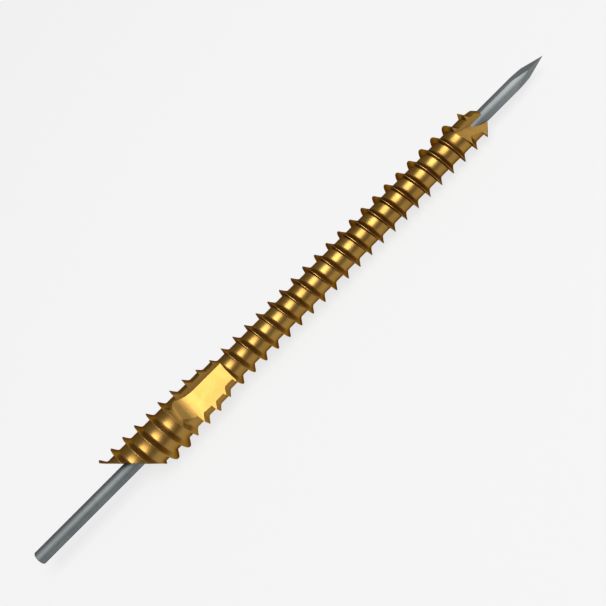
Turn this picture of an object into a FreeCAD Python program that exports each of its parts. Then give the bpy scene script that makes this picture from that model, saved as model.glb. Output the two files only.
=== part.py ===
"""A cannulated dual-diameter pedicle screw shank, lying on its thread with its guide pin through it.

Each piece is first made on its own axis: X runs along the shank, from the middle of the sawn end to the
tip, and Z is up. Then both pieces are turned and laid down as the shank rests on a table, on one thick crest
and one thin crest, with the origin on the table below the middle of the whole part.
"""
import FreeCAD, Part
import Sketcher
import math
import os
import re

from FreeCAD import Placement, Rotation, Vector

SIZES = {
    # The shank, in millimetres and degrees
    "shank_length": 65.3,       # middle of the sawn end to the tip face
    "thick_length": 16.8,       # middle of the sawn end to where the thread starts to climb
    "root_climb": 3.3,          # length over which the groove bottom climbs to the thick core
    "crest_climb": 4.4,         # length over which the crest climbs to the thick thread
    # The thread
    "pitch": 2.2,
    "first_crest": -3.05,       # a crest that faces +Y, from the middle of the sawn end
    "thin_crest_dia": 5.5,
    "thin_root_dia": 3.76,
    "thick_crest_dia": 7.3,
    "thick_root_dia": 5.45,
    "steep_run": 0.12,          # axial run of the flank that faces the sawn end
    "slope_run": 0.36,          # axial run of the upper half of the flank that faces the tip
    "foot_run": 0.55,           # axial run of that flank's hollow lower half
    # The tip
    "tip_cone_angle": 45.0,     # between the cone and the axis
    "tip_face_dia": 2.4,
    # The sawn end
    "saw_angle": 45.0,          # between the cut and the axis, seen from above
    "saw_lean": 10.0,           # the cut's lean off the vertical
    # The way it lies
    "rest_turn": 42.0,          # turn about its axis, from +Y towards +Z, in which it lies still
    # The flutes: each is a flat floor with a wall standing on it
    "wall_angle": 35.0,         # between the wall and the floor's normal
    "step_flute_turn": 18.0,    # turn of the first floor's normal from +Z towards +Y
    "step_flute_height": 1.45,  # axis to floor
    "step_flute_overrun": 0.85, # how far the flute runs past the climb, into the thin thread
    "step_flute_length": 5.05,  # flat length of the floor
    "step_flute_runout": 6.0,   # radius in which the floor rises out of the thick core
    "tip_flute_turn": 15.0,
    "tip_flute_length": 4.47,
    "tip_flute_high": 1.95,     # axis to floor, where the flute starts
    "tip_flute_low": 0.24,      # axis to floor, at the tip face
    "tip_wall_offset": 0.78,    # how far the wall passes from the axis, along the floor
    # The guide pin
    "pin_dia": 2.0,
    "pin_length": 94.8,
    "pin_reach": 11.6,          # tip face to the pin's point
    "pin_facet_length": 6.2,
    "pin_clearance": 0.05,      # radial, in the bore
}

FLUTES = 3
FACETS = 3
HELIX_SPANS = 12                # spline spans in each turn of a helix
SLOPE_SHARE = 0.47              # share of the tooth's height at which the slope turns hollow
SPARE = 2.0                     # how far a blank or a cutter runs past the finished surface
SEAM = 1e-5                     # widest gap between faces that are sewn together

doc = FreeCAD.newDocument("pedicle_screw")
sheet = doc.addObject("Spreadsheet::Sheet", "sizes")
for row, (alias, value) in enumerate(SIZES.items(), start=1):
    sheet.set("A%d" % row, alias)
    sheet.set("B%d" % row, str(value))
    sheet.setAlias("B%d" % row, alias)
doc.recompute()


def size(alias):
    """The number in the sheet's cell of that name."""
    return float(sheet.get(alias))


def from_sheet(formula):
    """The formula with each size's name turned into a reference to its cell."""
    return re.sub(r"[a-z_]+", lambda word: "sizes." + word[0] if word[0] in SIZES else word[0], formula)


def bind(thing, **formulas):
    """Ties an object's properties to the sheet."""
    for name, formula in formulas.items():
        thing.setExpression(name, from_sheet(formula))


def add_body(name):
    """An empty body of that name."""
    body = doc.addObject("PartDesign::Body", name)
    body.Label = name
    return body


def sketch_on(body, role, name):
    """An empty sketch on one of a body's own origin planes."""
    sketch = body.newObject("Sketcher::SketchObject", name)
    sketch.AttachmentSupport = (next(p for p in body.Origin.OriginFeatures if p.Role == role), "")
    sketch.MapMode = "FlatFace"
    return sketch


def draw_outline(sketch, corners):
    """A closed outline of straight edges. Each corner is a pair of formulas, taken anticlockwise."""
    turns = [2 * math.pi * corner / len(corners) for corner in range(len(corners))]
    points = [Vector(math.cos(turn), math.sin(turn), 0) for turn in turns]
    edges = sketch.addGeometry([
        Part.LineSegment(start, end) for start, end in zip(points, points[1:] + points[:1])
    ])
    for edge, following in zip(edges, edges[1:] + edges[:1]):
        sketch.addConstraint(Sketcher.Constraint("Coincident", edge, 2, following, 1))
    for edge, point, (across, up) in zip(edges, points, corners):
        for kind, start, formula in (("DistanceX", point.x, across), ("DistanceY", point.y, up)):
            held = sketch.addConstraint(Sketcher.Constraint(kind, -1, 1, edge, 1, start))
            sketch.setExpression("Constraints[%d]" % held, from_sheet(formula))


# The thread. A tooth leans towards the sawn end: a steep flank faces that end, and a hollow slope faces
# the tip. All of it is one start, right-handed, and climbs with the core where the diameters meet.

def climb(along, length):
    """How far up the step a place is, from 0 on the thin thread to 1 on the thick one."""
    return min(max((size("thick_length") - along) / length, 0.0), 1.0)


def thread_radius(along, share):
    """Distance from the axis at a share of the tooth's height, for the crest at that place."""
    root_step = climb(along, size("root_climb"))
    crest_step = climb(along, size("crest_climb"))
    root = size("thin_root_dia") + (size("thick_root_dia") - size("thin_root_dia")) * root_step
    crest = size("thin_crest_dia") + (size("thick_crest_dia") - size("thin_crest_dia")) * crest_step
    return (root + (crest - root) * share) / 2


def tooth_profile():
    """The tooth's corners: distance along from the crest, and share of the height."""
    return [
        (-size("steep_run"), 0.0),
        (0.0, 1.0),
        (size("slope_run"), SLOPE_SHARE),
        (size("slope_run") + size("foot_run"), 0.0),
    ]


def on_thread(turns, corner):
    """The point of one corner's helix that many turns from the first crest."""
    along, share = corner
    crest = size("first_crest") + size("pitch") * turns
    radius = thread_radius(crest, share)
    turned = 2 * math.pi * turns
    return Vector(crest + along, radius * math.cos(turned), radius * math.sin(turned))


def helix(turn, corner):
    """One turn of a corner's helix, as a spline whose ends match those of its neighbours."""
    shares = [span / HELIX_SPANS for span in range(HELIX_SPANS + 1)]
    small = 0.1 / HELIX_SPANS
    slopes = [
        (on_thread(end + small, corner) - on_thread(end - small, corner)) * (0.5 / small)
        for end in (turn, turn + 1)
    ]
    curve = Part.BSplineCurve()
    curve.interpolate(
        Points=[on_thread(turn + share, corner) for share in shares],
        Parameters=shares,
        InitialTangent=slopes[0],
        FinalTangent=slopes[1],
        Scale=False,
    )
    return curve.toShape()


def blank_end(turn, root_helix):
    """The two faces that close the blank at one end: the tooth's outline, and a ramp from the axis."""
    profile = tooth_profile()
    outline = [on_thread(turn, corner) for corner in profile] + [on_thread(turn + 1, profile[0])]
    axis = [Vector(outline[-1].x, 0, 0), Vector(outline[0].x, 0, 0)]
    outline_face = Part.Face(Part.makePolygon(outline + axis + outline[:1]))
    ramp = Part.makeRuledSurface(Part.makeLine(axis[1], axis[0]), root_helix)
    return [outline_face, ramp]


def threaded_blank():
    """The whole thread with its core, longer than the shank at both ends."""
    profile = tooth_profile()
    behind = size("thick_crest_dia") / 2 * (1 / math.tan(math.radians(size("saw_angle"))) + 1)
    first_turn = math.floor((-behind - size("first_crest")) / size("pitch")) - 1
    last_turn = math.ceil((size("shank_length") + SPARE - size("first_crest")) / size("pitch"))
    turns = range(first_turn, last_turn)
    helices = {turn: [helix(turn, corner) for corner in profile] for turn in range(first_turn, last_turn + 1)}
    faces = blank_end(first_turn, helices[first_turn][0]) + blank_end(last_turn, helices[last_turn][0])
    for turn in turns:
        strips = helices[turn] + [helices[turn + 1][0]]
        faces += [Part.makeRuledSurface(one, other) for one, other in zip(strips, strips[1:])]
    skin = Part.Compound(faces)
    skin.sewShape(SEAM)
    blank = Part.makeSolid(skin.Shells[0])
    if blank.Volume < 0:
        blank.reverse()
    return blank


# What the blank is turned, bored, sawn and milled with

def turned_form():
    """The envelope of the finished shank: a bar with a coned tip, and a small flat face round the bore."""
    body = add_body("turned_form")
    sketch = sketch_on(body, "XZ_Plane", "turned_outline")
    bar = "(thick_crest_dia / 2 + %g)" % SPARE
    cone = "shank_length - (%s - tip_face_dia / 2) / tan(tip_cone_angle)" % bar
    draw_outline(sketch, [
        ("-4 * thick_crest_dia", "0"),
        ("shank_length", "0"),
        ("shank_length", "tip_face_dia / 2"),
        (cone, bar),
        ("-4 * thick_crest_dia", bar),
    ])
    turning = body.newObject("PartDesign::Revolution", "turning")
    turning.Profile = sketch
    turning.ReferenceAxis = (sketch, ["H_Axis"])
    turning.Angle = 360
    return body


def bore_drill():
    """A straight drill through the whole blank, wider than the pin by its clearance."""
    drill = doc.addObject("Part::Cylinder", "bore_drill")
    bind(drill, Radius="pin_dia / 2 + pin_clearance", Height="shank_length + 8 * thick_crest_dia")
    drill.Placement = Placement(Vector(-4 * size("thick_crest_dia"), 0, 0), Rotation(Vector(0, 1, 0), 90))
    return drill


def end_saw():
    """A block whose front face is the slanting cut across the thick end."""
    saw = doc.addObject("Part::Box", "end_saw")
    bind(saw, Length="4 * thick_crest_dia", Width="6 * thick_crest_dia", Height="4 * thick_crest_dia")
    turn = Rotation(90 - size("saw_angle"), size("saw_lean"), 0)
    corner = Vector(-4, -3, -2) * size("thick_crest_dia")
    saw.Placement = Placement(turn.multVec(corner), turn)
    return saw


def flute_cutter(name, turn, floor, wall_offset, runout=None):
    """One flute's cutter: the room above the floor, on the open side of the wall.

    It is drawn with the floor facing up, then turned about the shank from +Z towards +Y. The floor is
    given by its two ends, and may rise from the first of them in a radius.
    """
    body = add_body(name)
    (start, start_height), (end, end_height) = floor
    side = sketch_on(body, "XZ_Plane", name + "_side")
    draw_outline(side, [
        (start, start_height),
        (end, end_height),
        (end, "thick_crest_dia"),
        (start, "thick_crest_dia"),
    ])
    room = body.newObject("PartDesign::Pad", name + "_room")
    room.Profile = side
    room.SideType = "Symmetric"
    bind(room, Length="4 * thick_crest_dia")
    if runout:
        disc = body.newObject("PartDesign::AdditiveCylinder", name + "_runout")
        disc.Placement = Placement(Vector(), Rotation(Vector(1, 0, 0), -90))
        bind(disc, Radius=runout, Height="4 * thick_crest_dia")
        disc.setExpression(".Placement.Base.x", from_sheet(start))
        disc.setExpression(".Placement.Base.y", from_sheet("-2 * thick_crest_dia"))
        disc.setExpression(".Placement.Base.z", from_sheet("%s + %s" % (start_height, runout)))
    doc.recompute()
    wall = sketch_on(body, "YZ_Plane", name + "_wall")
    draw_outline(wall, [
        (wall_offset + " - thick_crest_dia * tan(wall_angle)", "-thick_crest_dia"),
        ("4 * thick_crest_dia", "-thick_crest_dia"),
        ("4 * thick_crest_dia", "3 * thick_crest_dia"),
        (wall_offset + " + 3 * thick_crest_dia * tan(wall_angle)", "3 * thick_crest_dia"),
    ])
    trim = body.newObject("PartDesign::Pocket", name + "_trim")
    trim.Profile = wall
    trim.Type = "ThroughAll"
    trim.SideType = "Symmetric"
    body.Placement = Placement(Vector(), Rotation(Vector(1, 0, 0), -turn))
    return body


def step_flute_cutters():
    """The cutters of the long flutes, which end square just inside the thin thread."""
    end = "thick_length + step_flute_overrun"
    floor = [(end + " - step_flute_length", "step_flute_height"), (end, "step_flute_height")]
    return [
        flute_cutter(
            "step_flute_cutter_%d" % flute,
            size("step_flute_turn") + flute * 360 / FLUTES,
            floor,
            "0",
            "step_flute_runout",
        )
        for flute in range(FLUTES)
    ]


def tip_flute_cutters():
    """The cutters of the short flutes, whose floors slope down through the tip into the bore."""
    slope = "(tip_flute_high - tip_flute_low) / tip_flute_length"
    floor = [
        ("shank_length - tip_flute_length", "tip_flute_high"),
        ("shank_length + %g" % SPARE, "tip_flute_low - %g * %s" % (SPARE, slope)),
    ]
    return [
        flute_cutter(
            "tip_flute_cutter_%d" % flute,
            size("tip_flute_turn") + flute * 360 / FLUTES,
            floor,
            "-tip_wall_offset",
        )
        for flute in range(FLUTES)
    ]


def screw_shank():
    """The threaded blank brought to the turned form, then bored, sawn and fluted."""
    blank = doc.addObject("Part::Feature", "threaded_blank")
    blank.Shape = threaded_blank()
    shank = doc.addObject("Part::Common", "turned_blank")
    shank.Base = blank
    shank.Tool = turned_form()
    for cutter in [bore_drill(), end_saw()] + step_flute_cutters() + tip_flute_cutters():
        cut = doc.addObject("Part::Cut", "after_" + cutter.Name)
        cut.Base = shank
        cut.Tool = cutter
        shank = cut
    shank.Label = "screw_shank"
    return shank


def guide_pin():
    """A straight round pin, square at one end, ground to a three-sided point at the other."""
    body = add_body("guide_pin")
    section = sketch_on(body, "YZ_Plane", "pin_section")
    circle = section.addGeometry(Part.Circle(Vector(), Vector(0, 0, 1), 1))
    section.addConstraint(Sketcher.Constraint("Coincident", circle, 3, -1, 1))
    radius = section.addConstraint(Sketcher.Constraint("Radius", circle, 1))
    section.setExpression("Constraints[%d]" % radius, from_sheet("pin_dia / 2"))
    wire = body.newObject("PartDesign::Pad", "pin_wire")
    wire.Profile = section
    bind(wire, Length="pin_length")
    doc.recompute()
    ground = sketch_on(body, "XZ_Plane", "facet_side")
    below = "-pin_dia / 2 * (1 + %g / pin_facet_length)" % SPARE
    draw_outline(ground, [
        ("pin_length - pin_facet_length - %g" % SPARE, below),
        ("pin_length + %g" % SPARE, below),
        ("pin_length + %g" % SPARE, "pin_dia / 2 * %g / pin_facet_length" % SPARE),
    ])
    facet = body.newObject("PartDesign::Pocket", "point_facet")
    facet.Profile = ground
    facet.Type = "ThroughAll"
    facet.SideType = "Symmetric"
    doc.recompute()
    facets = body.newObject("PartDesign::PolarPattern", "point_facets")
    facets.Originals = [facet]
    facets.Axis = (next(a for a in body.Origin.OriginFeatures if a.Role == "X_Axis"), [""])
    facets.Angle = 360
    facets.Occurrences = FACETS
    body.Tip = facets
    return body


def rest_placement():
    """Lays the shank down on two crests: each is the last that stands below it before a flute cuts in."""
    def lowest_crest(limit):
        share = 0.75 - size("rest_turn") / 360
        return limit - (limit - size("first_crest") - share * size("pitch")) % size("pitch")

    thick, thin = size("thick_crest_dia") / 2, size("thin_crest_dia") / 2
    flute_start = size("thick_length") + size("step_flute_overrun") - size("step_flute_length")
    last_flute = size("step_flute_turn") + (FLUTES - 1) * 360 / FLUTES
    beside_flute = math.radians(last_flute - 180 - size("rest_turn"))
    rise = thick * math.cos(beside_flute) - size("step_flute_height")
    runout = math.sqrt(rise * (2 * size("step_flute_runout") - rise))
    thick_at = lowest_crest(flute_start - runout)
    thin_at = lowest_crest(size("shank_length") - size("tip_flute_length"))
    tilt = math.atan2(thick - thin, thin_at - thick_at)
    point = size("shank_length") + size("pin_reach")
    blunt = point - size("pin_length")
    middle = ((point + blunt) * math.cos(tilt) - size("pin_dia") / 2 * math.sin(tilt)) / 2
    lift = thick * math.cos(tilt) + thick_at * math.sin(tilt)
    laid = Placement(Vector(-middle, 0, lift), Rotation(Vector(0, 1, 0), math.degrees(tilt)))
    return laid * Placement(Vector(), Rotation(Vector(1, 0, 0), size("rest_turn")))


shank = screw_shank()
pin = guide_pin()
doc.recompute()

rest = rest_placement()
in_bore = Placement(Vector(size("shank_length") + size("pin_reach") - size("pin_length"), 0, 0), Rotation())
shank.Placement = rest
pin.Placement = rest * in_bore
doc.recompute()

for thing in doc.Objects:
    if "Invalid" in thing.State or "Error" in thing.State:
        raise RuntimeError("%s did not build: %s" % (thing.Label, thing.State))

os.makedirs("parts", exist_ok=True)
for piece in (shank, pin):
    solid = piece.Shape
    if solid.isNull() or not solid.isValid() or len(solid.Solids) != 1:
        raise RuntimeError("%s is not one valid solid" % piece.Label)
    solid.exportStep("parts/%s.step" % piece.Label)
    print("%s: %.1f cubic mm" % (piece.Label, solid.Volume))
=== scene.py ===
"""A gold cannulated bone screw shank with its steel guide pin, as machined meshes with metal finishes.

Both pieces are drawn on the shank's own axis in millimetres: X runs from the middle of the sawn end to
the tip, and Z is up. Every point is then laid down where the solids lie.
"""
import math

import bmesh
import bpy
from mathutils import Matrix, Vector


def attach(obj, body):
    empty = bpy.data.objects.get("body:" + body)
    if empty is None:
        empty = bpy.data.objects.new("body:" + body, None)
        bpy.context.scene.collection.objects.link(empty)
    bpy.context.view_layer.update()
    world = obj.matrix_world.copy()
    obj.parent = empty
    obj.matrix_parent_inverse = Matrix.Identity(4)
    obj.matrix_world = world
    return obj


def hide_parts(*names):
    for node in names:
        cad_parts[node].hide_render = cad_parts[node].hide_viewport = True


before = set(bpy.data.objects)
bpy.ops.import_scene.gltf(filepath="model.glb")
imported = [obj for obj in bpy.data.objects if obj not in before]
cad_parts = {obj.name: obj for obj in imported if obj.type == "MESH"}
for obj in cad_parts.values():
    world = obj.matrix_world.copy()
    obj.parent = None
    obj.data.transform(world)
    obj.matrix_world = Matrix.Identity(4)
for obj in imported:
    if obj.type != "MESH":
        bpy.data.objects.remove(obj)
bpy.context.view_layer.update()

MM = 0.001

# The shank's sizes, as its solid has them
SHANK_LENGTH = 65.3
THICK_LENGTH = 16.8
ROOT_CLIMB = 3.3
CREST_CLIMB = 4.4
PITCH = 2.2
FIRST_CREST = -3.05
THIN_ROOT, THIN_CREST = 1.88, 2.75
THICK_ROOT, THICK_CREST = 2.725, 3.65
BORE_RADIUS = 1.05
TIP_FACE_RADIUS = 1.2
TIP_CONE = math.radians(45)
SAW_ANGLE = math.radians(45)
SAW_LEAN = math.radians(10)
WALL_ANGLE = math.radians(35)
STEP_TURN, STEP_HEIGHT = 18, 1.45
STEP_END = THICK_LENGTH + 0.85
STEP_FLAT, STEP_RUNOUT = 5.05, 6.0
TIP_TURN, TIP_HIGH, TIP_LOW = 15, 1.95, 0.24
TIP_FLUTE_LENGTH = 4.47
TIP_WALL_OFFSET = -0.78
FLUTES = 3

REST_TURN = 42.0

# The pin's sizes
PIN_RADIUS = 1.0
PIN_LENGTH = 94.8
PIN_REACH = 11.6
PIN_FACET = 6.2
PIN_FACETS = 3
PIN_EDGE = 0.08

# How finely the meshes are drawn, and the degrees that a sharp edge turns by
TURN_STEPS = 72
ROUND_STEPS = 96
PIN_STEPS = 64
CORNER_RADIUS = 0.16
CORNER_STEPS = 4
RUNOUT_STEPS = 14
SHARP_EDGE = 28

# How far a blank or a cutter runs past the finished surface
SPARE = 2.0
RUNOUT_SPARE = 0.6

# The tooth's outline from its crest: distance along in millimetres, and share of the height. The steep
# flank faces the sawn end, and the slope turns hollow towards the tip.
TOOTH = (
    (-0.21, 0.0), (-0.15, 0.02), (-0.12, 0.09), (-0.03, 0.965), (-0.012, 1.0), (0.03, 1.0),
    (0.055, 0.96), (0.2, 0.71), (0.36, 0.445), (0.5, 0.23), (0.62, 0.09), (0.74, 0.02), (0.86, 0.0),
)


def rest_matrix():
    """Takes a point on the shank's own axes, in metres, to where the shank lies: on two of its crests."""
    def lowest_crest(limit):
        return limit - (limit - FIRST_CREST - (0.75 - REST_TURN / 360) * PITCH) % PITCH

    last_flute = STEP_TURN + (FLUTES - 1) * 360 / FLUTES
    beside_flute = math.radians(last_flute - 180 - REST_TURN)
    rise = THICK_CREST * math.cos(beside_flute) - STEP_HEIGHT
    thick_at = lowest_crest(STEP_END - STEP_FLAT - math.sqrt(rise * (2 * STEP_RUNOUT - rise)))
    thin_at = lowest_crest(SHANK_LENGTH - TIP_FLUTE_LENGTH)
    tilt = math.atan2(THICK_CREST - THIN_CREST, thin_at - thick_at)
    point = SHANK_LENGTH + PIN_REACH
    middle = ((2 * point - PIN_LENGTH) * math.cos(tilt) - PIN_RADIUS * math.sin(tilt)) / 2
    lift = THICK_CREST * math.cos(tilt) + thick_at * math.sin(tilt)
    turned = Matrix.Rotation(tilt, 4, "Y") @ Matrix.Rotation(math.radians(REST_TURN), 4, "X")
    return Matrix.Translation(Vector((-middle, 0, lift)) * MM) @ turned


REST = rest_matrix()


def laid(point):
    """A point of the shank's own axes, in millimetres, where it lies."""
    return REST @ (Vector(point) * MM)


def new_object(name, mesh):
    """An object for the mesh, in the scene."""
    thing = bpy.data.objects.new(name, mesh)
    bpy.context.scene.collection.objects.link(thing)
    return thing


def mesh_from(name, points, faces):
    """A mesh laid down from points in millimetres, with its faces turned outwards."""
    mesh = bpy.data.meshes.new(name)
    mesh.from_pydata([laid(point) for point in points], [], faces)
    skin = bmesh.new()
    skin.from_mesh(mesh)
    bmesh.ops.recalc_face_normals(skin, faces=skin.faces)
    skin.to_mesh(mesh)
    skin.free()
    return mesh


# The thread

def climb(along, length):
    """How far up the step a place is, from 0 on the thin thread to 1 on the thick one."""
    return min(max((THICK_LENGTH - along) / length, 0.0), 1.0)


def thread_radius(crest_at, along, share):
    """Distance from the axis of one point of the tooth. Each valley keeps the root of the crest before it."""
    root_at = crest_at - PITCH if along < 0 else crest_at
    root = THIN_ROOT + (THICK_ROOT - THIN_ROOT) * climb(root_at, ROOT_CLIMB)
    crest = THIN_CREST + (THICK_CREST - THIN_CREST) * climb(crest_at, CREST_CLIMB)
    return root + (crest - root) * share


def thread_blank():
    """The tooth's outline swept along the helix, closed by a fan at each end."""
    behind = THICK_CREST * (1 / math.tan(SAW_ANGLE) + 1)
    first = math.floor((-behind - FIRST_CREST) / PITCH) - 1
    last = math.ceil((SHANK_LENGTH + SPARE - FIRST_CREST) / PITCH)
    stations = (last - first) * TURN_STEPS + 1
    points = []
    for station in range(stations):
        turns = first + station / TURN_STEPS
        crest = FIRST_CREST + PITCH * turns
        turned = 2 * math.pi * turns
        for along, share in TOOTH:
            radius = thread_radius(crest, along, share)
            points.append((crest + along, radius * math.cos(turned), radius * math.sin(turned)))
    row = len(TOOTH)

    def corner(station, place):
        """The index of a point. The outline's end is the start of the next turn's outline."""
        return (station + TURN_STEPS) * row if place == row else station * row + place

    faces = []
    whole = stations - TURN_STEPS
    for station in range(whole - 1):
        for place in range(row):
            faces.append((
                corner(station, place),
                corner(station + 1, place),
                corner(station + 1, place + 1),
                corner(station, place + 1),
            ))
    for start in (0, whole - 1):
        rim = [corner(start + step, 0) for step in range(TURN_STEPS)]
        rim += [corner(start, place) for place in range(row, 0, -1)]
        points.append((FIRST_CREST + PITCH * (first + start / TURN_STEPS + 0.5), 0, 0))
        faces += [(len(points) - 1, one, other) for one, other in zip(rim, rim[1:] + rim[:1])]
    return tidy_points(mesh_from("thread_blank", points, faces))


def tidy_points(mesh):
    """Drops the points that no face uses."""
    skin = bmesh.new()
    skin.from_mesh(mesh)
    bmesh.ops.delete(skin, geom=[point for point in skin.verts if not point.link_faces], context="VERTS")
    bmesh.ops.recalc_face_normals(skin, faces=skin.faces)
    skin.to_mesh(mesh)
    skin.free()
    return mesh


# What the blank is turned, bored, sawn and milled with

def revolved(name, outline, steps=ROUND_STEPS):
    """An outline of places along the axis and radii, turned about the axis and closed at both ends."""
    points = []
    for along, radius in outline:
        for step in range(steps):
            turned = 2 * math.pi * step / steps
            points.append((along, radius * math.cos(turned), radius * math.sin(turned)))
    faces = [tuple(range(steps)), tuple(range(len(points) - steps, len(points)))]
    for ring in range(len(outline) - 1):
        for step in range(steps):
            after = (step + 1) % steps
            faces.append((
                ring * steps + step,
                ring * steps + after,
                (ring + 1) * steps + after,
                (ring + 1) * steps + step,
            ))
    return mesh_from(name, points, faces)


def turned_form():
    """The bar with its coned tip."""
    bar = THICK_CREST + SPARE
    cone = SHANK_LENGTH - (bar - TIP_FACE_RADIUS) / math.tan(TIP_CONE)
    return revolved("turned_form", [(-4 * THICK_CREST, bar), (cone, bar), (SHANK_LENGTH, TIP_FACE_RADIUS)])


def end_saw():
    """A block whose front face is the slanting cut."""
    reach = 8 * THICK_CREST
    corners = [(x, y, z) for x in (-reach, 0) for y in (-reach, reach) for z in (-reach, reach)]
    turn = Matrix.Rotation(math.pi / 2 - SAW_ANGLE, 3, "Z") @ Matrix.Rotation(SAW_LEAN, 3, "Y")
    points = [turn @ Vector(corner) for corner in corners]
    faces = [(0, 1, 3, 2), (4, 5, 7, 6), (0, 1, 5, 4), (2, 3, 7, 6), (0, 2, 6, 4), (1, 3, 7, 5)]
    return mesh_from("end_saw", points, faces)


def flute_section(floor, offset):
    """The cutter's outline across the shank: places along the floor and heights above the axis."""
    lean = math.tan(WALL_ANGLE)
    wide, high = 4 * THICK_CREST, 3 * THICK_CREST
    corner = offset + floor * lean
    opening = math.pi / 2 + WALL_ANGLE
    run = CORNER_RADIUS / math.tan(opening / 2)
    middle = (corner - run, floor + CORNER_RADIUS)
    swing = math.pi - opening
    arc = []
    for step in range(CORNER_STEPS + 1):
        turned = -math.pi / 2 + swing * step / CORNER_STEPS
        arc.append((
            middle[0] + CORNER_RADIUS * math.cos(turned),
            middle[1] + CORNER_RADIUS * math.sin(turned),
        ))
    return [(-wide, floor)] + arc + [(offset + high * lean, high), (-wide, high)]


def flute_cutter(name, turn, stations, offset):
    """A cutter that follows the floor's stations, turned about the shank from +Z towards +Y."""
    sections = [flute_section(floor, offset) for _, floor in stations]
    count = len(sections[0])
    points = []
    for (along, _), section in zip(stations, sections):
        points += [(along, across, up) for across, up in section]
    faces = [tuple(range(count)), tuple(range(len(points) - count, len(points)))]
    for station in range(len(stations) - 1):
        for place in range(count):
            after = (place + 1) % count
            faces.append((
                station * count + place,
                station * count + after,
                (station + 1) * count + after,
                (station + 1) * count + place,
            ))
    spin = Matrix.Rotation(math.radians(-turn), 3, "X")
    return mesh_from(name, [spin @ Vector(point) for point in points], faces)


def step_stations():
    """The long flute's floor from its run-out in the thick core to its square end."""
    rise = math.acos(1 - (THICK_CREST + RUNOUT_SPARE - STEP_HEIGHT) / STEP_RUNOUT)
    flat_start = STEP_END - STEP_FLAT
    stations = []
    for step in range(RUNOUT_STEPS + 1):
        swing = rise * (1 - step / RUNOUT_STEPS)
        stations.append((
            flat_start - STEP_RUNOUT * math.sin(swing),
            STEP_HEIGHT + STEP_RUNOUT * (1 - math.cos(swing)),
        ))
    return stations + [(STEP_END, STEP_HEIGHT)]


def tip_stations():
    """The short flute's floor, which slopes down through the tip into the bore."""
    slope = (TIP_HIGH - TIP_LOW) / TIP_FLUTE_LENGTH
    return [(SHANK_LENGTH - TIP_FLUTE_LENGTH, TIP_HIGH), (SHANK_LENGTH + SPARE, TIP_LOW - SPARE * slope)]


def machine(blank, cutter, operation):
    """Applies one exact cut to the blank and drops the cutter."""
    tool = new_object(cutter.name, cutter)
    step = blank.modifiers.new(cutter.name, "BOOLEAN")
    step.object = tool
    step.operation = operation
    step.solver = "EXACT"
    result = bpy.data.meshes.new_from_object(blank.evaluated_get(bpy.context.evaluated_depsgraph_get()))
    blank.modifiers.clear()
    blank.data = result
    bpy.data.objects.remove(tool)


def soften(thing, sharp):
    """Smooth shading, except across edges that turn by more than the sharp angle in degrees."""
    for face in thing.data.polygons:
        face.use_smooth = True
    thing.data.set_sharp_from_angle(angle=math.radians(sharp))


def machined_shank():
    """The finished shank."""
    shank = new_object("machined_shank", thread_blank())
    machine(shank, turned_form(), "INTERSECT")
    for flute in range(FLUTES):
        swing = 360 * flute / FLUTES
        step_flute = flute_cutter("step_flute", STEP_TURN + swing, step_stations(), 0.0)
        machine(shank, step_flute, "DIFFERENCE")
        tip_flute = flute_cutter("tip_flute", TIP_TURN + swing, tip_stations(), TIP_WALL_OFFSET)
        machine(shank, tip_flute, "DIFFERENCE")
    machine(shank, end_saw(), "DIFFERENCE")
    drill = revolved("bore_drill", [(-4 * THICK_CREST, BORE_RADIUS), (SHANK_LENGTH + SPARE, BORE_RADIUS)])
    machine(shank, drill, "DIFFERENCE")
    shank.data.name = "machined_shank"
    soften(shank, SHARP_EDGE)
    return shank


# The pin

def ground_pin():
    """A straight pin with a broken edge at its square end, ground to a three-sided point."""
    point = SHANK_LENGTH + PIN_REACH
    blunt = point - PIN_LENGTH
    rings = [(blunt, PIN_RADIUS - PIN_EDGE), (blunt + PIN_EDGE, PIN_RADIUS), (point + SPARE, PIN_RADIUS)]
    pin = new_object("ground_pin", revolved("ground_pin", rings, PIN_STEPS))
    skin = bmesh.new()
    skin.from_mesh(pin.data)
    lean = math.atan2(PIN_RADIUS, PIN_FACET)
    for facet in range(PIN_FACETS):
        side = math.pi + 2 * math.pi * facet / PIN_FACETS
        outward = Vector((math.sin(lean), math.cos(lean) * math.sin(side), math.cos(lean) * math.cos(side)))
        bmesh.ops.bisect_plane(
            skin,
            geom=skin.verts[:] + skin.edges[:] + skin.faces[:],
            plane_co=laid((point, 0, 0)),
            plane_no=REST.to_3x3() @ outward,
            clear_outer=True,
        )
        open_edges = [rim for rim in skin.edges if rim.is_boundary]
        bmesh.ops.holes_fill(skin, edges=open_edges)
    bmesh.ops.recalc_face_normals(skin, faces=skin.faces)
    skin.to_mesh(pin.data)
    skin.free()
    soften(pin, SHARP_EDGE)
    return pin


shank = machined_shank()
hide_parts("screw_shank")
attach(shank, "screw")
pin = ground_pin()
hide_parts("guide_pin")
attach(pin, "pin")


# Finishes

BRIGHTER_FROM, BRIGHTER_TO = SHANK_LENGTH - 2, SHANK_LENGTH + 7


def add_node(tree, kind, inputs=(), **settings):
    """A node with its settings, and its inputs given as numbers or as the outputs that feed them."""
    node = tree.nodes.new("ShaderNode" + kind)
    for name, value in settings.items():
        setattr(node, name, value)
    for socket, value in dict(inputs).items():
        if isinstance(value, bpy.types.NodeSocket):
            tree.links.new(value, node.inputs[socket])
        else:
            node.inputs[socket].default_value = value
    return node


def new_group(name, inputs, outputs):
    """A node group with its sockets, and the two nodes that hold them inside."""
    group = bpy.data.node_groups.new(name, "ShaderNodeTree")
    for direction, sockets in (("INPUT", inputs), ("OUTPUT", outputs)):
        for socket, kind in sockets:
            group.interface.new_socket(name=socket, in_out=direction, socket_type="NodeSocket" + kind)
    return group, group.nodes.new("NodeGroupInput"), group.nodes.new("NodeGroupOutput")


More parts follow.
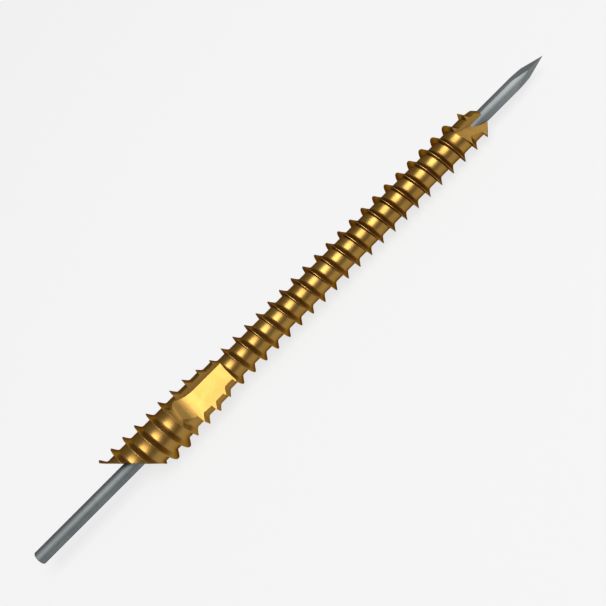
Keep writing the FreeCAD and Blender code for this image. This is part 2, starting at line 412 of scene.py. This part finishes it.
def place_group(material, group, **values):
    """The group in a material, with its own values. An underscore stands for a space."""
    node = material.node_tree.nodes.new("ShaderNodeGroup")
    node.node_tree = group
    for name, value in values.items():
        node.inputs[name.replace("_", " ").capitalize()].default_value = value
    return node


def place_on_shank():
    """Where a point of the surface is on the shank's own axes, in millimetres, and its distance from it."""
    outputs = [("Place", "Vector"), ("Along", "Float"), ("Radius", "Float")]
    group, _, out = new_group("place_on_shank", [], outputs)
    back = REST.inverted()
    seen = add_node(group, "TexCoord")
    turned = add_node(
        group,
        "Mapping",
        {
            "Vector": seen.outputs["Object"],
            "Location": back.translation / MM,
            "Rotation": back.to_euler(),
            "Scale": (1 / MM, 1 / MM, 1 / MM),
        },
    )
    parts = add_node(group, "SeparateXYZ", {0: turned.outputs[0]})
    across = add_node(group, "CombineXYZ", {"X": parts.outputs["Y"], "Y": parts.outputs["Z"]})
    radius = add_node(group, "VectorMath", {0: across.outputs[0]}, operation="LENGTH")
    group.links.new(turned.outputs[0], out.inputs["Place"])
    group.links.new(parts.outputs["X"], out.inputs["Along"])
    group.links.new(radius.outputs["Value"], out.inputs["Radius"])
    return group


def tool_marks():
    """Fine rings that a turning tool or a grinding wheel leaves round the axis, over a satin grain."""
    inputs = [
        ("Ring spacing", "Float"),
        ("Grain size", "Float"),
        ("Ring share", "Float"),
        ("Depth", "Float"),
    ]
    group, given, out = new_group("tool_marks", inputs, [("Marks", "Float"), ("Normal", "Vector")])
    place = add_node(group, "Group", node_tree=PLACE)
    rings_at = add_node(group, "CombineXYZ", {"X": place.outputs["Along"], "Y": place.outputs["Radius"]})
    ring_scale = add_node(group, "Math", {0: 1.0, 1: given.outputs["Ring spacing"]}, operation="DIVIDE")
    rings = add_node(
        group,
        "TexNoise",
        {"Vector": rings_at.outputs[0], "Scale": ring_scale.outputs[0], "Detail": 3.0, "Roughness": 0.6},
    )
    grain_scale = add_node(group, "Math", {0: 1.0, 1: given.outputs["Grain size"]}, operation="DIVIDE")
    grain = add_node(
        group,
        "TexNoise",
        {"Vector": place.outputs["Place"], "Scale": grain_scale.outputs[0], "Detail": 4.0, "Roughness": 0.55},
    )
    marks = add_node(
        group,
        "Mix",
        {0: given.outputs["Ring share"], 2: grain.outputs[0], 3: rings.outputs[0]},
        data_type="FLOAT",
    )
    bump = add_node(
        group,
        "Bump",
        {"Height": marks.outputs[0], "Distance": given.outputs["Depth"], "Strength": 1.0},
    )
    group.links.new(marks.outputs[0], out.inputs["Marks"])
    group.links.new(bump.outputs[0], out.inputs["Normal"])
    return group


def handling():
    """Slow, cloudy differences that cleaning and handling leave on a metal, from 0 to 1."""
    group, given, out = new_group("handling", [("Patch size", "Float")], [("Clouds", "Float")])
    place = add_node(group, "Group", node_tree=PLACE)
    scale = add_node(group, "Math", {0: 1.0, 1: given.outputs["Patch size"]}, operation="DIVIDE")
    clouds = add_node(
        group,
        "TexNoise",
        {"Vector": place.outputs["Place"], "Scale": scale.outputs[0], "Detail": 2.0, "Distortion": 0.6},
    )
    spread = add_node(
        group,
        "MapRange",
        {"Value": clouds.outputs[0], "From Min": 0.3, "From Max": 0.7},
        interpolation_type="SMOOTHSTEP",
    )
    group.links.new(spread.outputs[0], out.inputs["Clouds"])
    return group


PLACE = place_on_shank()
MARKS = tool_marks()
HANDLING = handling()


def metal(name, sockets):
    """A material whose shader is a bare metal, with the sockets that are the same all over it."""
    material = bpy.data.materials.new(name)
    material.use_nodes = True
    shader = material.node_tree.nodes["Principled BSDF"]
    shader.inputs["Metallic"].default_value = 1
    for socket, value in sockets.items():
        shader.inputs[socket].default_value = value
    return material, shader


def mixed_colour(material, share, first, second):
    """The first colour turned into the second by a share. Either may be the output of another node."""
    mix = add_node(material.node_tree, "Mix", {0: share, 6: first, 7: second}, data_type="RGBA")
    return mix.outputs[2]


def gold_anodised_titanium():
    """A satin gold oxide on turned titanium: deeper in cloudy patches, thinner and paler on the crests."""
    material, shader = metal("gold_anodised_titanium", {
        "Specular Tint": (0.12, 0.07, 0.03, 1),
    })
    tree = material.node_tree
    place = place_group(material, PLACE)
    marks = place_group(material, MARKS, ring_spacing=0.05, grain_size=0.12, ring_share=0.6, depth=0.0000012)
    clouds = place_group(material, HANDLING, patch_size=3.0)
    crest = add_node(tree, "MapRange", {
        "Value": place.outputs["Along"],
        "From Min": THICK_LENGTH - CREST_CLIMB,
        "From Max": THICK_LENGTH,
        "To Min": THICK_CREST,
        "To Max": THIN_CREST,
    })
    below = add_node(tree, "Math", {0: crest.outputs[0], 1: place.outputs["Radius"]}, operation="SUBTRACT")
    rubbed = add_node(
        tree,
        "MapRange",
        {"Value": below.outputs[0], "From Min": 0.1, "From Max": 0.0},
        interpolation_type="SMOOTHSTEP",
    )
    film = mixed_colour(material, clouds.outputs[0], (0.33, 0.185, 0.044, 1), (0.39, 0.225, 0.057, 1))
    tree.links.new(
        mixed_colour(material, rubbed.outputs[0], film, (0.43, 0.26, 0.08, 1)),
        shader.inputs["Base Color"],
    )
    satin = add_node(tree, "MapRange", {"Value": marks.outputs["Marks"], "To Min": 0.28, "To Max": 0.44})
    tree.links.new(satin.outputs[0], shader.inputs["Roughness"])
    tree.links.new(marks.outputs["Normal"], shader.inputs["Normal"])
    return material


def ground_steel():
    """Grey steel ground round its axis, a little brighter where its point was finished."""
    material, shader = metal("ground_steel", {"Specular Tint": (0.1, 0.11, 0.12, 1)})
    tree = material.node_tree
    place = place_group(material, PLACE)
    marks = place_group(material, MARKS, ring_spacing=0.09, grain_size=0.3, ring_share=0.75, depth=0.0000015)
    clouds = place_group(material, HANDLING, patch_size=2.2)
    finished = add_node(
        tree,
        "MapRange",
        {"Value": place.outputs["Along"], "From Min": BRIGHTER_FROM, "From Max": BRIGHTER_TO},
        interpolation_type="SMOOTHSTEP",
    )
    steel = mixed_colour(material, clouds.outputs[0], (0.2, 0.22, 0.225, 1), (0.235, 0.255, 0.26, 1))
    tree.links.new(
        mixed_colour(material, finished.outputs[0], steel, (0.31, 0.33, 0.335, 1)),
        shader.inputs["Base Color"],
    )
    satin = add_node(tree, "MapRange", {"Value": marks.outputs["Marks"], "To Min": 0.52, "To Max": 0.66})
    tree.links.new(satin.outputs[0], shader.inputs["Roughness"])
    tree.links.new(marks.outputs["Normal"], shader.inputs["Normal"])
    return material


for piece, finish in ((shank, gold_anodised_titanium()), (pin, ground_steel())):
    piece.data.materials.clear()
    piece.data.materials.append(finish)


# Floor, light and camera

PALE = (0.887, 0.887, 0.887, 1)
AIR_STRENGTH = 0.3
FLOOR_REACH = 2
# How much of the floor's shadow is left where the floor is seen or mirrored
SHADOW_SHARE = 0.15
LAMP_DISTANCE = 0.45
LAMP_AIM = 31
LENS_HEIGHT = 133.3
VIEW_MIDDLE = (31.0, -0.733, 0)
# Half the view's width for each unit of distance
HALF_VIEW = 0.303


def studio_floor():
    """A plain pale floor. Seen directly, in metal or through glass, most of its paleness is its own."""
    mesh = bpy.data.meshes.new("studio_floor")
    reach = FLOOR_REACH
    corners = [(-reach, -reach, 0), (reach, -reach, 0), (reach, reach, 0), (-reach, reach, 0)]
    mesh.from_pydata(corners, [], [(0, 1, 2, 3)])
    floor = new_object("studio_floor", mesh)
    material = bpy.data.materials.new("pale_floor")
    material.use_nodes = True
    tree = material.node_tree
    tree.nodes.clear()
    path = add_node(tree, "LightPath")
    seen = path.outputs["Is Camera Ray"]
    for ray in ("Is Glossy Ray", "Is Transmission Ray"):
        seen = add_node(tree, "Math", {0: seen, 1: path.outputs[ray]}, operation="MAXIMUM").outputs[0]
    share = add_node(tree, "Math", {0: seen, 1: 1 - SHADOW_SHARE}, operation="MULTIPLY")
    lit = add_node(tree, "BsdfDiffuse", {"Color": PALE})
    glow = add_node(tree, "Emission", {"Color": PALE, "Strength": 1.0})
    mix = add_node(tree, "MixShader", {0: share.outputs[0], 1: lit.outputs[0], 2: glow.outputs[0]})
    add_node(tree, "OutputMaterial", {"Surface": mix.outputs[0]})
    mesh.materials.append(material)


def studio_air():
    """A dim even light from all round."""
    world = bpy.data.worlds.new("studio_air")
    bpy.context.scene.world = world
    world.use_nodes = True
    sky = world.node_tree.nodes["Background"]
    sky.inputs["Color"].default_value = PALE
    sky.inputs["Strength"].default_value = AIR_STRENGTH


def softbox(name, lean, ahead, width, height, power):
    """A soft lamp over the shank, turned from the camera's side towards the shank's +Y and its tip."""
    lamp = bpy.data.lights.new(name, "AREA")
    lamp.shape = "RECTANGLE"
    lamp.size = width
    lamp.size_y = height
    lamp.energy = power
    holder = bpy.data.objects.new(name, lamp)
    bpy.context.scene.collection.objects.link(holder)
    turned = Matrix.Rotation(math.radians(-lean), 4, "X") @ Matrix.Rotation(math.radians(ahead), 4, "Y")
    out = Matrix.Translation((0, 0, LAMP_DISTANCE))
    holder.matrix_world = REST @ Matrix.Translation(Vector((LAMP_AIM, 0, 0)) * MM) @ turned @ out


def photo_camera():
    """Looks straight down on the shank's axis, with the tip to the upper right."""
    middle = Vector(VIEW_MIDDLE)
    right = Vector((1, -1, 0)).normalized()
    up = Vector((1, 1, 0)).normalized()
    back = right.cross(up)
    look = Matrix((right, up, back)).transposed().to_4x4()
    place = Matrix.Translation((middle + back * LENS_HEIGHT) * MM)
    data = bpy.data.cameras.new("photo_camera")
    data.sensor_width = 36
    data.lens = data.sensor_width / 2 / HALF_VIEW
    data.clip_start = 0.005
    camera = bpy.data.objects.new("photo_camera", data)
    bpy.context.scene.collection.objects.link(camera)
    camera.matrix_world = REST @ place @ look
    bpy.context.scene.camera = camera


studio_floor()
studio_air()
softbox("softbox", lean=24, ahead=3, width=0.3, height=0.34, power=2.1)
softbox("side_softbox", lean=56, ahead=64, width=0.22, height=0.22, power=0.25)
photo_camera()
bpy.context.scene.view_settings.view_transform = "Standard"
